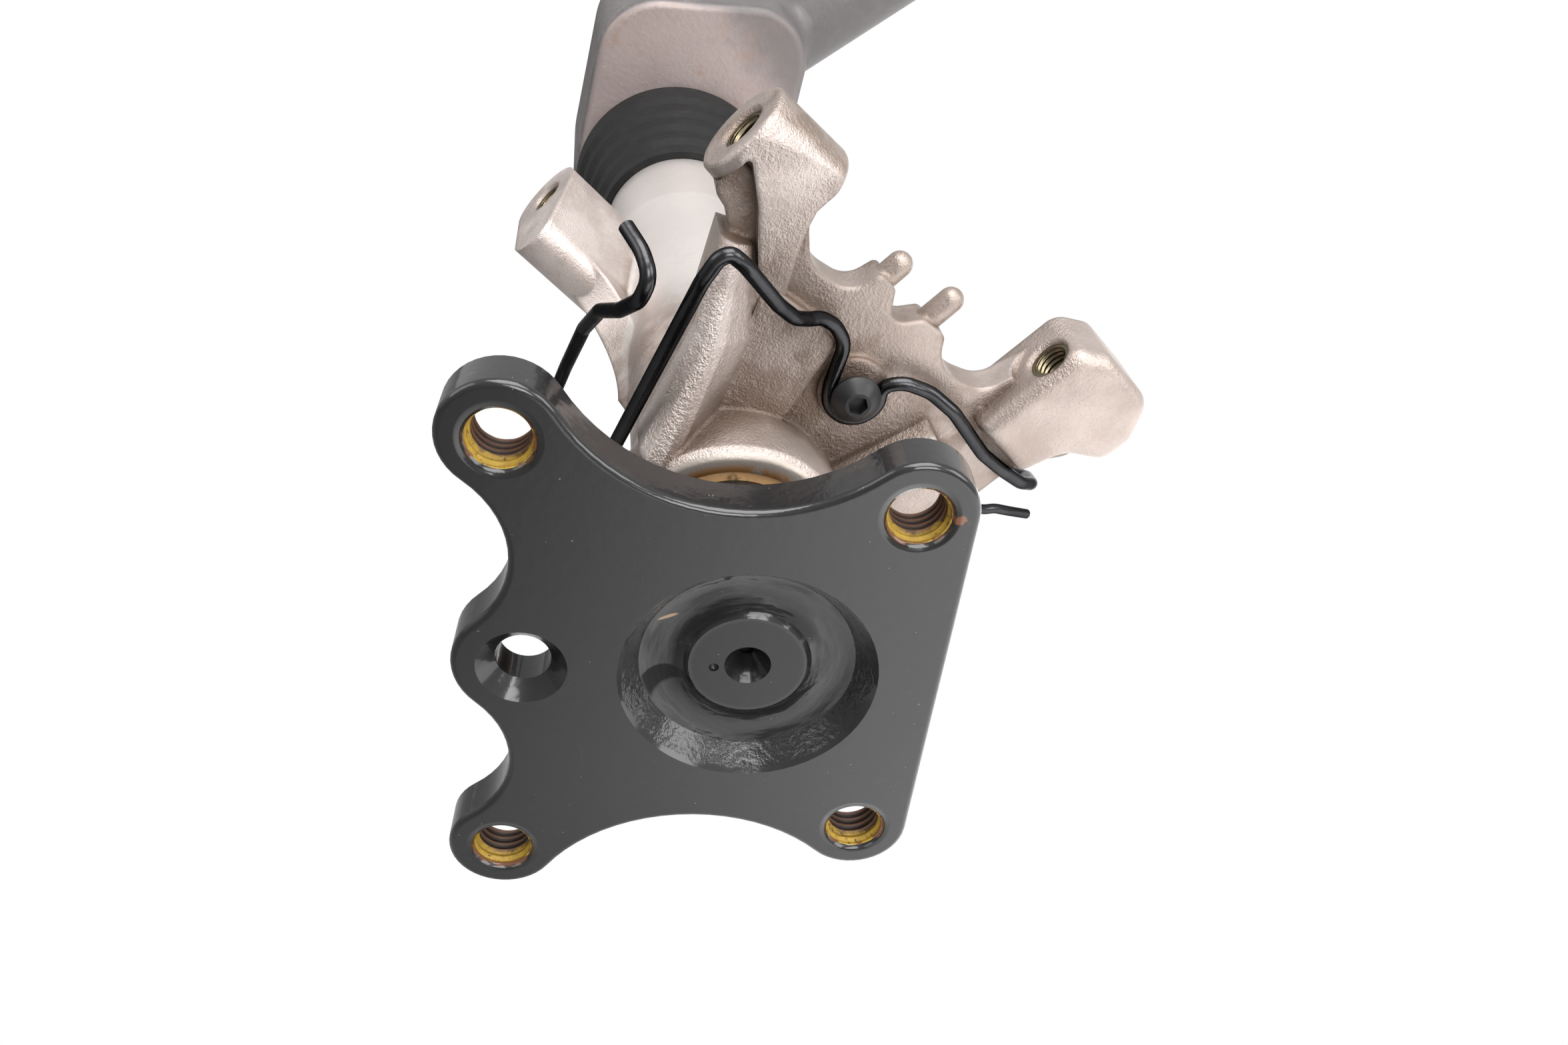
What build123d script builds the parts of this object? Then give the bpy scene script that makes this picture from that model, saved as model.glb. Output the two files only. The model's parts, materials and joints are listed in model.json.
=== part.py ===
from build123d import *
from math import atan2, cos, degrees, hypot, radians, sin, sqrt, tan
import os

# Steering stem in its bearing holder. Millimetres.
# +Y runs along the stem from the handlebar plate to the lower arm, +Z is up, and the origin is on the
# stem's axis where it meets the front face of the plate.

# Handlebar plate
plateLean = 3.8                # degrees that the plate's normal leans from the stem's axis
plateThick = 10.0
barSpacing = 74.0              # between the two rows of bar screws
rearSpan = 100.0               # screw spacing in the wide row
frontSpan = 80.0               # screw spacing in the narrow row
axisToRear = 47.2              # from the stem's axis to the wide row
barHoleRadius = 6.0            # M12
earRadius = 11.2
barMouthChamfer = 0.6
midHoleOffset = 3.8            # the plain hole stands this far inside the wide row
midHoleRadius = 5.4
midMouthRadius = 8.7
midEarRadius = 13.4
waistHalf = 38.6               # from the middle line to the deepest point of a long waist
sideWaist = 45.9               # from the stem's axis to the deepest point of a short waist
plateEdgeRound = 1.3
recessRadius = 25.4
recessFloorRadius = 21.4
recessDepth = 5.2
islandRadius = 11.7
islandDepth = 4.3
grooveExtra = 1.0              # the ring groove lies this much below the recess's floor
centreHoleRadius = 4.6
pilotRadius = 1.6
pilotDepth = 14.0
dimpleRadius = 1.0

# Stem
journalRadius = 15.0
collarRadius = 19.0
footRadius = 24.0              # foot of the collar where it joins the plate
footLength = 9.0
raceStopRadius = 17.0
splineRadius = 14.0
splineCount = 24
splineDepth = 0.8
threadRadius = 12.0            # M24 end thread
threadLength = 30.0

# Bearings, 30 x 42 x 7
bearingRadius = 21.0
bearingWidth = 7.0
innerLand = 17.0
outerLand = 19.1
ballRadius = 1.9
ballCount = 18
ballPlay = 0.05
runClear = 0.08                # radial clearance where a turned piece runs in a bore
seatClear = 0.02               # radial clearance of a fitted seat

# Holder casting
holderFront = 41.0
holderRear = 231.0
housingRadius = 27.0
housingLength = 31.0
neckRadius = 20.6
neckStraightEnd = 140.0
neckFlareStart = 196.0
neckEndRadius = 25.6
neckBore = 17.4
sealBore = 21.7
sealDepth = 5.0
sealWidth = 3.5
boltTurn = 48.0                # degrees that the boss holes' axis is turned from straight up
wingFront = 62.0
wingThick = 9.0
bossRadius = 11.2
bossDraft = 1.3                # growth of the upper boss's radius from face to foot
columnFront = 54.3             # front of the upper boss's flat at its face
columnLean = 0.16              # the flat falls back by this much for each mm down
padFront = 58.5
upperBoss = (62.0, 65.0)       # place across the holder and along the stem
upperBossFace = 61.0           # height of the machined face over the stem's axis
upperBossFoot = 40.0
lowerBoss = (77.5, 62.0)      # its screw passes beside the upper boss
lowerBossFace = -24.0
lowerBossFront = 55.0
lowerBossDeep = 19.5
rearBoss = (-8.5, 175.5)
rearBossFace = 52.0
insertOuter = 4.8
insertInner = 4.0              # M8
insertLength = 16.0
insertSunk = 1.0
drillDepth = 20.0
finRadius = 2.9
finBase = 54.0
finTips = ((15.2, 69.5), (0.6, 72.5))    # height and reach of each fin

# Wire guide and its screw
wireRadius = 1.6
screwSpot = (41.2, 1.9)        # across and up from the stem's axis
screwRadius = 3.0              # M6
screwHeadRadius = 5.6
screwHeadHeight = 3.3
screwLength = 16.0
hexFlats = 4.0
hexDepth = 1.9
padHeight = 2.0
padRadius = 8.0
wireSeat = 0.05
eyePlay = 1.2                  # room between the screw and the wire's eye

# Boot, sleeve, lower arm and nut
bootRear = 272.0
bootClear = 0.35
bootWall = 2.0
hubFront = 270.5
hubRear = 330.0
hubFrontRadius = 36.5
hubWall = 4.5
hubLobes = ((0, 0, 37.0), (-8, 42, 22.5), (24, 46, 19.0))    # x, z and radius of the block's corners
webFront = 288.0
webThick = 28.0
nutPocketRadius = 24.0
armAngle = 36.5                # degrees above +X
armAlong = 303.0
armStart = (8.0, 25.0)         # the arm's axis passes here, x and z
armRootRadius = 14.5
armEndRadius = 12.5
armReach = 130.0
eyeRadius = 18.0
eyeThick = 24.0
eyeBore = 6.0
nutFlats = 36.0
nutHeight = 19.0
slotCount = 6
slotWidth = 4.0
slotDepth = 6.0
nutWasherRadius = 21.0
nutWasherThick = 3.0
pinRadius = 1.8
pinEyeRadius = 2.0
pinWireRadius = 1.0

bossHoles = ((upperBoss, upperBossFace), (lowerBoss, lowerBossFace), (rearBoss, rearBossFace))
holderAcross = Vector(cos(radians(boltTurn)), 0, sin(radians(boltTurn)))
holderUp = Vector(-sin(radians(boltTurn)), 0, cos(radians(boltTurn)))


def turned(*profile):
    """A ring turned about the stem's axis from corners given as (radius, place along the stem)."""
    return revolve(make_face(Polyline(*profile, close=True)), Axis.Y)


def ring(inner, outer, start, length):
    """A plain tube about the stem's axis."""
    return turned((inner, start), (outer, start), (outer, start + length), (inner, start + length))


def holder_point(across, along, up):
    """A point given across the holder, along the stem and up the boss holes' direction."""
    return holderAcross * across + Vector(0, along, 0) + holderUp * up


def holder_face(along):
    """A plane square to the stem that faces the handlebar plate, with its x across the holder."""
    return Plane(origin=(0, along, 0), x_dir=holderAcross, z_dir=(0, -1, 0))


def boss_plane(place, height):
    """A plane square to the boss holes at one boss's axis."""
    return Plane(origin=holder_point(place[0], place[1], height), x_dir=holderAcross, z_dir=holderUp)


def waist_between(spotA, radiusA, spotB, radiusB, deepest):
    """Circle that touches two ears from outside and dips to a line; spots are (along, out)."""
    low = 1.0
    high = 400.0
    for step in range(60):
        radius = (low + high) / 2
        reach = sum(
            sqrt((radius + r) ** 2 - (deepest + radius - spot[1]) ** 2)
            for spot, r in ((spotA, radiusA), (spotB, radiusB))
        )
        if reach < abs(spotB[0] - spotA[0]):
            low = radius
        else:
            high = radius
    side = 1 if spotB[0] > spotA[0] else -1
    start = spotA[0] + side * sqrt((radius + radiusA) ** 2 - (deepest + radius - spotA[1]) ** 2)
    return (start, deepest + radius), radius


def arc_between(centre, radius, start, end, turn):
    """Arc about a centre from one point to another, turn +1 anticlockwise and -1 clockwise."""
    first = degrees(atan2(start[1] - centre[1], start[0] - centre[0]))
    last = degrees(atan2(end[1] - centre[1], end[0] - centre[0]))
    sweep = (last - first) % 360 if turn > 0 else -((first - last) % 360)
    return CenterArc(centre, radius, first, sweep)


def touch(ear, earR, notch, notchR):
    """Point where a waist touches an ear."""
    share = earR / (earR + notchR)
    return (ear[0] + (notch[0] - ear[0]) * share, ear[1] + (notch[1] - ear[1]) * share)


# Places of the plate's ears, x across and y up from the stem's axis
rearEar = (-axisToRear, rearSpan / 2)
frontEar = (barSpacing - axisToRear, frontSpan / 2)
midEar = (-axisToRear + midHoleOffset, 0)
plateFace = Plane(
    origin=(0, 0, 0),
    x_dir=(cos(radians(plateLean)), -sin(radians(plateLean)), 0),
    z_dir=(-sin(radians(plateLean)), -cos(radians(plateLean)), 0),
)


def plate_outline():
    """Five ears joined by four waists, each waist an arc that runs smoothly into its ears."""
    top, topR = waist_between(rearEar, earRadius, frontEar, earRadius, waistHalf)
    side, sideR = waist_between(
        (midEar[1], -midEar[0]), midEarRadius, (rearEar[1], -rearEar[0]), earRadius, sideWaist
    )
    side = (-side[1], side[0])
    a = (frontEar[0] + earRadius, 0)
    b = (frontEar[0] + earRadius, frontEar[1])
    c = touch(frontEar, earRadius, top, topR)
    d = touch(rearEar, earRadius, top, topR)
    e = touch(rearEar, earRadius, side, sideR)
    f = touch(midEar, midEarRadius, side, sideR)
    g = (midEar[0] - midEarRadius, 0)
    half = Line(a, b)
    half += arc_between(frontEar, earRadius, b, c, 1)
    half += arc_between(top, topR, c, d, -1)
    half += arc_between(rearEar, earRadius, d, e, 1)
    half += arc_between(side, sideR, e, f, -1)
    half += arc_between(midEar, midEarRadius, f, g, 1)
    return make_face(half + mirror(half, Plane.XZ))


def recess_cutter():
    """Conical wall, ring groove and flat island with a lathe centre, turned about the plate's normal."""
    mid = (recessFloorRadius + islandRadius) / 2
    section = Line((0, 1), (recessRadius, 1))
    section += Line((recessRadius, 1), (recessRadius, 0))
    section += Line((recessRadius, 0), (recessFloorRadius, -recessDepth))
    section += ThreePointArc(
        (recessFloorRadius, -recessDepth), (mid, -recessDepth - grooveExtra), (islandRadius + 1, -recessDepth)
    )
    section += Line((islandRadius + 1, -recessDepth), (islandRadius, -islandDepth))
    section += Line((islandRadius, -islandDepth), (centreHoleRadius, -islandDepth))
    coneEnd = islandDepth + (centreHoleRadius - pilotRadius) * sqrt(3)
    section += Line((centreHoleRadius, -islandDepth), (pilotRadius, -coneEnd))
    section += Line((pilotRadius, -coneEnd), (pilotRadius, -pilotDepth))
    section += Line((pilotRadius, -pilotDepth), (0, -pilotDepth - pilotRadius / 2))
    section += Line((0, -pilotDepth - pilotRadius / 2), (0, 1))
    cutter = revolve(make_face(section), Axis.Y)
    return Rot(90, 0, 0) * cutter


def plate():
    """The plate with its bar screw holes, plain hole and milled recess, drawn facing +Z."""
    body = extrude(plate_outline(), -plateThick)
    body = fillet(body.faces().sort_by(Axis.Z)[-1].edges(), plateEdgeRound)
    body = chamfer(body.faces().sort_by(Axis.Z)[0].edges(), 0.6)
    for spot in (rearEar, frontEar):
        for side in (1, -1):
            place = Pos(spot[0], spot[1] * side, 0)
            body -= place * Pos(0, 0, -plateThick / 2) * Cylinder(barHoleRadius, plateThick * 3)
            body -= place * Pos(0, 0, 0.5 - barMouthChamfer / 2) * Cone(
                barHoleRadius, barHoleRadius + barMouthChamfer + 1, barMouthChamfer + 1
            )
    midPlace = Pos(midEar[0], 0, 0)
    sinkDepth = midMouthRadius - midHoleRadius
    body -= midPlace * Cylinder(midHoleRadius, plateThick * 4)
    body -= midPlace * Pos(0, 0, -sinkDepth / 2) * Cone(midHoleRadius, midMouthRadius, sinkDepth)
    body -= recess_cutter()
    body -= Pos(-(centreHoleRadius + 2.0), -1.0, -islandDepth) * Sphere(dimpleRadius)
    return body


def stem_shaft():
    """The one-piece forging: plate, collar, bearing journals, splines and end thread."""
    collarEnd = holderFront + sealDepth - 0.6
    raceStop = holderFront + sealDepth
    splineEnd = webFront + webThick
    tip = splineEnd + threadLength
    bar = turned(
        (0, plateThick / 2 + 7),
        (footRadius, plateThick - 2),
        (footRadius, plateThick + 2.5),
        (collarRadius, plateThick + footLength),
        (collarRadius, collarEnd),
        (raceStopRadius, collarEnd),
        (raceStopRadius, raceStop),
        (journalRadius, raceStop),
        (journalRadius, webFront - 1),
        (splineRadius, webFront),
        (splineRadius, splineEnd),
        (threadRadius, splineEnd),
        (threadRadius, tip - 1.5),
        (threadRadius - 1.5, tip),
        (0, tip),
    )
    middle = (webFront + splineEnd) / 2
    groove = Pos(0, middle, splineRadius) * Rot(90, 0, 0) * Cylinder(splineDepth, webThick)
    bar -= [Rot(0, turn * 360 / splineCount, 0) * groove for turn in range(splineCount)]
    pinHole = Pos(0, splineEnd + nutWasherThick + nutHeight - slotDepth / 2, 0) * Cylinder(
        pinRadius + 0.1, threadRadius * 3
    )
    bar -= pinHole
    return plateFace * plate() + bar


def neck_tube():
    """Front housing, waisted tube and flared rear end of the holder, with their bores."""
    outer = turned(
        (0, holderFront),
        (housingRadius - 2, holderFront),
        (housingRadius, holderFront + 2),
        (housingRadius, holderFront + housingLength - 14),
        (neckRadius, holderFront + housingLength + 6),
        (neckRadius, neckStraightEnd),
        (neckEndRadius, neckFlareStart),
        (neckEndRadius, holderRear - 1),
        (neckEndRadius - 1, holderRear),
        (0, holderRear),
    )
    return outer


def neck_bores():
    """Through bore, bearing seats and seal seats, mirrored end for end."""
    seatDepth = sealDepth + bearingWidth
    stop = outerLand - 0.1
    bore = ring(0, neckBore, holderFront - 1, holderRear - holderFront + 2)
    for end, way in ((holderFront, 1), (holderRear, -1)):
        bore += turned((0, end - way), (sealBore, end - way), (sealBore, end + way * sealDepth),
                       (bearingRadius, end + way * sealDepth), (bearingRadius, end + way * seatDepth),
                       (stop, end + way * seatDepth), (stop, end + way * (seatDepth + 2)),
                       (0, end + way * (seatDepth + 2)))
    return bore


def wing():
    """The flat wing that carries the two front bosses, square to the stem."""
    outline = FilletPolyline(
        (-9, 20), (34, 38), (44.5, 45), (49, 52), (50, 57), (66, 57), (70, 43), (59, 37.5), (53, 30),
        (55.5, 19.5), (63, 18), (63, 13.4), (56.5, 7.8), (63, 3), (64, -3), (57, -9), (62, -21),
        (84, -26), (84, -48), (66, -49), (56, -42), (38, -42), (12, -28), (-16, -14), (-20, 6),
        radius=[6, 12, 6, 3, 3, 3, 6, 9, 8, 6, 1.5, 1.5, 3.2, 1.5, 2, 9, 7, 4, 4, 6, 12, 20, 18, 12, 10],
        close=True,
    )
    return extrude(holder_face(wingFront + wingThick) * make_face(outline), wingThick)


def rib(stations, base):
    """A ruled flange along the wing; a station is a place (across, up) and its section (side, along)."""
    first, last = stations[0][0], stations[-1][0]
    run = hypot(last[0] - first[0], last[1] - first[1])
    way = (holderAcross * (last[0] - first[0]) + holderUp * (last[1] - first[1])) / run
    sections = []
    for place, section in stations:
        flat = Plane(origin=holder_point(place[0], 0, place[1]), x_dir=(0, 1, 0), z_dir=way)
        corners = [(along, -side) for side, along in section]
        corners = [(base, corners[0][1])] + corners + [(base, corners[-1][1])]
        sections.append(flat * make_face(Polyline(*corners, close=True)))
    return loft(sections, ruled=True)


def column():
    """The tapered upper boss with its flat front, which runs down to the pad as a column."""
    length = upperBossFace - upperBossFoot
    cone = boss_plane(upperBoss, upperBossFoot) * Pos(0, 0, length / 2) * Cone(
        bossRadius - 0.5 + bossDraft, bossRadius - 0.5, length
    )
    rims = cone.edges().filter_by(GeomType.CIRCLE).sort_by(lambda edge: edge.center().dot(holderUp))
    cone = chamfer(fillet(rims[0], 3.0).edges().filter_by(GeomType.CIRCLE).sort_by(
        lambda edge: edge.center().dot(holderUp))[-1], 0.6)
    block = FilletPolyline(
        (61, 57), (68, 50), (65, 41), (59, 38.5), (53.5, 35.5), (44, 29), (36, 24), (38, 34), (49.5, 43.8),
        (54.5, 49.2), (60, 54.5), radius=[0.5, 2, 3, 3, 4, 1, 1, 1, 4, 3, 0.5], close=True,
    )
    body = cone + extrude(holder_face(wingFront + wingThick) * make_face(block), 40)
    groove = FilletPolyline(
        (61, 58.3), (54.9, 49.2), (49.9, 43.8), (45, 38), (30, 38), (30, 58.3), radius=[0.8, 4, 4, 2, 1, 1],
        close=True,
    )
    body -= extrude(holder_face(wingFront + 2) * make_face(groove), 40)
    slope = atan2(columnLean, 1)
    flat = Plane(origin=holder_point(0, columnFront, upperBossFace), x_dir=holderAcross,
                 z_dir=Vector(0, -cos(slope), 0) - holderUp * sin(slope))
    return body - extrude(flat * Rectangle(300, 300), 60)


def lower_boss():
    """The rounded block that carries the lower boss hole."""
    outline = FilletPolyline(
        (56, -24), (84, -24), (88.5, -31), (88.5, -47), (80, -52.5), (72, -52.5), (66.5, -44), (56, -41),
        radius=[1, 5, 5, 6, 6, 5, 8, 2], close=True,
    )
    body = extrude(holder_face(lowerBossFront + lowerBossDeep) * make_face(outline), lowerBossDeep)
    front = body.faces().sort_by(Axis.Y)[0].edges().filter_by(
        lambda edge: edge.center().dot(holderAcross) > 62 and edge.center().dot(holderUp) < -26)
    return fillet(front, 3.5)


def rear_boss():
    """The oblong rear boss with a web that sweeps forward into the neck."""
    near = boss_plane((-12.5, 157.0), 8) * Circle(7.5)
    far = boss_plane(rearBoss, 8) * Circle(bossRadius)
    body = extrude(make_hull(near.edges() + far.edges()), rearBossFace - 8)
    profile = Line((6, 104), (16, 112))
    profile += Spline((16, 112), (17.6, 128), (23.2, 141), (31.4, 150), (39, 153))
    profile += Polyline((39, 153), (39, 172), (6, 184), (6, 104))
    side = Plane(origin=holderAcross * -11.5, x_dir=holderUp, z_dir=holderUp.cross(Vector(0, 1, 0)))
    return body + extrude(side * make_face(profile), 5.5, both=True)


def insert_pocket(place, face):
    """Hole for a thread insert with a countersunk mouth."""
    hole = extrude(boss_plane(place, face - drillDepth) * Circle(insertOuter), drillDepth + 1)
    mouth = boss_plane(place, face - 0.4) * Cone(insertOuter, insertOuter + 0.9, 0.9)
    return hole + mouth


def bearing_holder():
    """The cast holder: housing and neck, wing with ribs, pad and fins, three bosses and all the bores."""
    body = neck_tube() + wing()
    body += rib([
        ((4.5, 26.5), [(-4.5, 47), (-3, 42.6), (0, 41.5), (3, 43.5), (11, padFront)]),
        ((30.2, 36.3), [(-4, 53), (-2, 50.2), (0, 49.5), (2.5, 51), (9, padFront)]),
        ((46.5, 47.0), [(-3, 59), (-1.5, 57), (0, 56), (1.5, 57), (4, padFront)]),
    ], wingFront + wingThick)
    body += rib([
        ((12, -13), [(-7, 58), (-3, 46), (0, 44), (3, 46), (6, 58)]),
        ((47, -22), [(-6, 61), (-3, 57.5), (0, 56.5), (3, 57.5), (6, 61)]),
    ], wingFront + wingThick)
    pad = FilletPolyline((10.8, 17.2), (20, 7), (46.5, 14.2), (47.2, 20), (45, 34), (41.2, 33.7),
                         radius=[1, 2, 2, 5, 1, 1], close=True)
    body += extrude(holder_face(wingFront + 1) * make_face(pad), wingFront + 1 - padFront)
    body += column()
    body += lower_boss()
    body += rear_boss()
    for height, reach in finTips:
        line = Plane(origin=holder_point(finBase, wingFront + wingThick / 2, height), z_dir=holderAcross)
        body += line * extrude(Circle(finRadius), reach - finBase - finRadius)
        body += Pos(*holder_point(reach - finRadius, wingFront + wingThick / 2, height)) * Sphere(finRadius)
    body += extrude(holder_face(wingFront + 1) * Pos(*screwSpot) * Circle(padRadius), padHeight + 1)
    body -= neck_bores()
    for place, face in bossHoles:
        body -= insert_pocket(place, face)
        body -= extrude(boss_plane(place, face) * Circle(bossRadius - 2.5), 14)
    seat = wingFront - padHeight
    screwPlane = holder_face(seat + screwLength) * Pos(*screwSpot)
    return body - extrude(screwPlane * Circle(screwRadius), screwLength + 1)


def thread_inserts():
    """Three identical thread inserts in the boss holes."""
    solids = []
    for place, face in bossHoles:
        plane = boss_plane(place, face - insertSunk - insertLength)
        solids.append(extrude(plane * (Circle(insertOuter) - Circle(insertInner)), insertLength))
    return Compound(solids)


def bearing(start):
    """Outer race, inner race, balls and cage of one ball bearing that starts at a place."""
    middle = start + bearingWidth / 2
    pitch = (innerLand + outerLand) / 2
    groove = Pos(0, middle, 0) * Rot(90, 0, 0) * Torus(pitch, ballRadius + ballPlay)
    outer = ring(outerLand, bearingRadius, start, bearingWidth) - groove
    inner = ring(journalRadius, innerLand, start, bearingWidth) - groove
    outer = chamfer(outer.edges().filter_by(GeomType.CIRCLE).filter_by(lambda e: e.radius > 20.5), 0.4)
    balls = []
    pockets = []
    drill = Rot(0, 90, 0) * Cylinder(ballRadius + ballPlay * 2, 6)
    for count in range(ballCount):
        turn = Rot(0, count * 360 / ballCount, 0)
        balls.append(turn * Pos(pitch, middle, 0) * Sphere(ballRadius))
        pockets.append(turn * Pos(pitch, middle, 0) * drill)
    cage = ring(pitch - 0.45, pitch + 0.45, middle - ballRadius - 0.5, ballRadius * 2 + 1) - pockets
    return outer, inner, Compound(balls), cage


def seal(end, way):
    """A rubber lip seal in a seal seat; way points into the holder."""
    back = end + way * (sealDepth - 0.7)
    front = back - way * sealWidth
    lip = collarRadius + runClear
    return turned(
        (lip, front), (sealBore, front), (sealBore, back), (lip + 1.6, back), (lip + 1.1, front + way * 1.4),
        (lip, front + way * 1.4),
    )


def boot():
    """Rubber boot in steps from a lip round the neck to a rim inside the lower arm's hub."""
    lip = neckEndRadius + bootClear
    start = holderRear - 5
    steps = 4
    run = (bootRear - 6 - holderRear - 2) / steps
    rise = (hubFrontRadius - 0.4 - bootWall - lip) / steps
    outside = [(lip + bootWall, start), (lip + bootWall, holderRear + 2)]
    for step in range(steps):
        radius = lip + bootWall + rise * (step + 1)
        along = holderRear + 2 + run * step
        outside.append((radius - rise * 0.25, along + run * 0.35))
        outside.append((radius, along + run))
    last = outside[-1]
    outside.append((last[0], hubFront - 0.1))
    plugRadius = hubFrontRadius - hubWall - bootClear
    outside.append((plugRadius, hubFront - 0.1))
    outside.append((plugRadius, hubFront + 6))
    inside = [(plugRadius - bootWall, hubFront + 6)]
    inside += [(radius - bootWall, along + 0.2) for radius, along in reversed(outside[1:-3])]
    inside.append((lip, start))
    return turned(*outside, *inside)


def lower_arm():
    """Flat-faced block with its arm: boot recess, splined bore, nut pocket, round arm and eye."""
    webRear = webFront + webThick
    lobes = [Pos(x, z) * Circle(radius) for x, z, radius in hubLobes]
    outline = make_hull([edge for lobe in lobes for edge in lobe.edges()])
    back = Plane(origin=(0, hubRear, 0), x_dir=(1, 0, 0), z_dir=(0, -1, 0))
    shell = extrude(back * outline, hubRear - hubFront)
    shell = fillet(shell.faces().sort_by(Axis.Y)[0].edges(), 3.0)
    shell = fillet(shell.faces().sort_by(Axis.Y)[-1].edges(), 5.0)
    way = Vector(cos(radians(armAngle)), 0, sin(radians(armAngle)))
    armPlane = Plane(origin=(armStart[0], armAlong, armStart[1]), x_dir=(0, 1, 0), z_dir=way)
    eyeStart = armReach - eyeRadius + 4
    body = shell + loft([
        armPlane * Circle(armRootRadius),
        armPlane.offset(eyeStart) * Circle(armEndRadius),
    ])
    seam = body.edges().filter_by(
        lambda edge: 18 < (edge.center() - armPlane.origin).dot(way) < 60
        and (edge.center() - armPlane.origin - way * (edge.center() - armPlane.origin).dot(way)).length < 20
        and abs(edge.center().Y - armAlong) < 18
    )
    body = fillet(seam, 6)
    eyeSpot = armPlane.origin + way * armReach
    eye = Pos(*eyeSpot) * Rot(90, 0, 0) * Cylinder(eyeRadius, eyeThick)
    body += fillet(eye.edges().filter_by(GeomType.CIRCLE), 2)
    recess = hubFrontRadius - hubWall
    body -= turned(
        (0, hubFront - 1), (recess, hubFront - 1), (recess, webFront - 5), (recess - 5, webFront), (0, webFront)
    )
    body -= ring(0, nutPocketRadius, webRear, hubRear + 1 - webRear)
    body -= ring(0, splineRadius, webFront - 1, webThick + 2)
    body -= Pos(*eyeSpot) * Rot(90, 0, 0) * Cylinder(eyeBore, eyeThick * 2)
    return body


def castle_nut():
    """Slotted hexagon nut on the end thread."""
    start = webFront + webThick + nutWasherThick
    hexagon = RegularPolygon(nutFlats / 2, 6, major_radius=False)
    body = extrude(Plane(origin=(0, start, 0), x_dir=(1, 0, 0), z_dir=(0, 1, 0)) * hexagon, nutHeight)
    half = nutFlats / 2
    crown = start + nutHeight - slotDepth
    cornerTrim = turned(
        (0, start), (half - 0.6, start), (half + 3, start + 2.4), (half + 3, crown - 2.4), (half - 2, crown),
        (half - 2, start + nutHeight), (0, start + nutHeight)
    )
    body = body & cornerTrim
    body -= ring(0, threadRadius, start - 1, nutHeight + 2)
    slot = Pos(0, start + nutHeight - slotDepth / 2, 0) * Box(slotWidth, slotDepth + 0.01, nutFlats * 1.3)
    body -= [Rot(0, turn * 180 / (slotCount / 2), 0) * slot for turn in range(slotCount // 2)]
    return body


def nut_washer():
    """Flat washer under the slotted nut."""
    return ring(threadRadius + 0.3, nutWasherRadius, webFront + webThick, nutWasherThick)


def split_pin():
    """Split pin through the slotted nut and the thread, its end bent over against a flat of the nut."""
    along = webFront + webThick + nutWasherThick + nutHeight - slotDepth / 2
    bend = nutFlats / 2 + pinRadius + 0.25
    eye = nutFlats / 2 + pinEyeRadius + 0.3
    route = FilletPolyline(
        (0, along, eye - pinEyeRadius), (0, along, -bend), (0, along - 7, -bend), radius=pinRadius + 0.6
    )
    body = sweep(Plane(route @ 0, z_dir=route % 0) * Circle(pinRadius), route)
    return body + Pos(0, along, eye) * Rot(0, 90, 0) * Torus(pinEyeRadius, pinWireRadius)


def socket_screw():
    """Button head screw with a hexagon socket, through the washer and the wire's eye."""
    top = wingFront - padHeight - wireRadius * 2 - wireSeat * 2
    dome = Line((0, 0), (screwHeadRadius, 0))
    dome += Line((screwHeadRadius, 0), (screwHeadRadius, 0.7))
    dome += ThreePointArc(
        (screwHeadRadius, 0.7),
        (screwHeadRadius * 0.72, screwHeadHeight * 0.72),
        (hexFlats * 0.72, screwHeadHeight),
    )
    dome += Line((hexFlats * 0.72, screwHeadHeight), (0, screwHeadHeight))
    dome += Line((0, screwHeadHeight), (0, 0))
    head = Rot(90, 0, 0) * revolve(make_face(dome), Axis.Y)
    place = holder_face(top) * Pos(*screwSpot)
    body = place * head
    body += extrude(holder_face(top + screwLength) * Pos(*screwSpot) * Circle(screwRadius), screwLength)
    socket = holder_face(top - screwHeadHeight + hexDepth) * Pos(*screwSpot)
    body -= extrude(socket * RegularPolygon(hexFlats / 2, 6, major_radius=False), hexDepth + 1)
    return body


def bend_radii(points, most):
    """Bend radius for each corner of a wire: 0.45 of the shorter run over the half turn's tangent."""
    radii = []
    for before, here, after in zip(points, points[1:], points[2:]):
        into = Vector(*here) - Vector(*before)
        out = Vector(*after) - Vector(*here)
        half = radians(into.get_angle(out)) / 2
        radii.append(min(most, 0.45 * min(into.length, out.length) / max(tan(half), 0.02)))
    return radii


def eye_points():
    """Points of the wire's open eye round the screw, from its left over the bottom to its right."""
    reach = (screwRadius + wireRadius + eyePlay) / cos(radians(22.5))
    along = wingFront - padHeight - wireRadius - wireSeat
    points = []
    for count in range(6):
        turn = radians(157.5 + 45 * count)
        centre = holder_point(screwSpot[0], along, screwSpot[1])
        points.append((centre.X + reach * cos(turn), along, centre.Z + reach * sin(turn)))
    return points


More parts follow.
